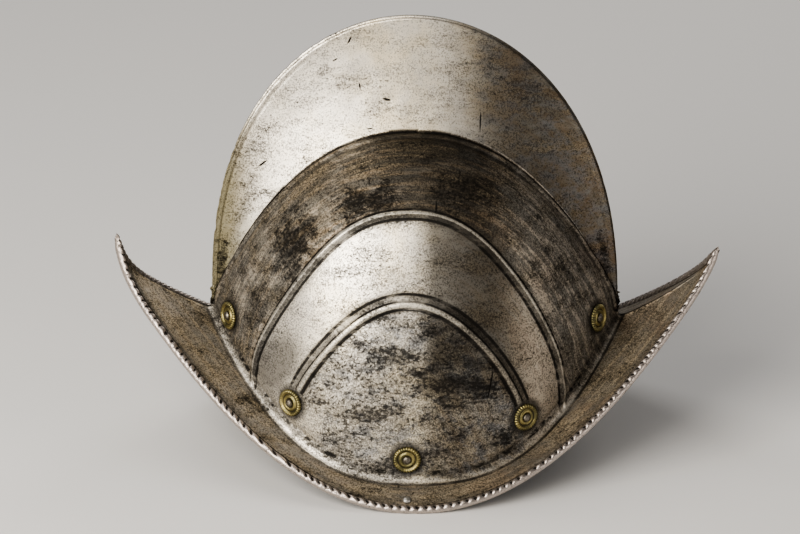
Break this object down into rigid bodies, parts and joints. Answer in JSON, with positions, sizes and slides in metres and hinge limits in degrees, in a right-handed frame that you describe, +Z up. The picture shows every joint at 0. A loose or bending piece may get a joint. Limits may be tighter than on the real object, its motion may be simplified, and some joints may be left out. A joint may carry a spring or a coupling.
{
  "type": "morion helmet",
  "caption": "Steel comb morion: hollow comb over a skull with raised ribs, a boat-shaped brim swept up to a point at both ends, a roped rolled edge and brass rosettes under rivets",
  "frame": {"origin": "on the surface that the brim rests on, under the middle of the helmet", "axes": "+X to the back, -X to the front, -Y the wearer's left side, +Z up"},
  "size_m": [0.3518, 0.2324, 0.2625],
  "materials": {
    "plate_steel": "old polished steel, grey-brown patina, pitted",
    "rosette_brass": "dull brass with dark grooves",
    "rivet_steel": "worn dark steel"
  },
  "bodies": {
    "root": {"skull_left": "plate_steel", "brim_rivet_left": "rivet_steel", "rosette_left_1": "rosette_brass", "rivet_left_1": "rivet_steel", "rosette_left_2": "rosette_brass", "rivet_left_2": "rivet_steel", "rosette_left_3": "rosette_brass", "rivet_left_3": "rivet_steel", "rosette_left_4": "rosette_brass", "rivet_left_4": "rivet_steel", "rosette_left_5": "rosette_brass", "rivet_left_5": "rivet_steel", "skull_right": "plate_steel", "brim_rivet_right": "rivet_steel", "rosette_right_1": "rosette_brass", "rivet_right_1": "rivet_steel", "rosette_right_2": "rosette_brass", "rivet_right_2": "rivet_steel", "rosette_right_3": "rosette_brass", "rivet_right_3": "rivet_steel", "rosette_right_4": "rosette_brass", "rivet_right_4": "rivet_steel", "rosette_right_5": "rosette_brass", "rivet_right_5": "rivet_steel"}
  },
  "joints": []
}
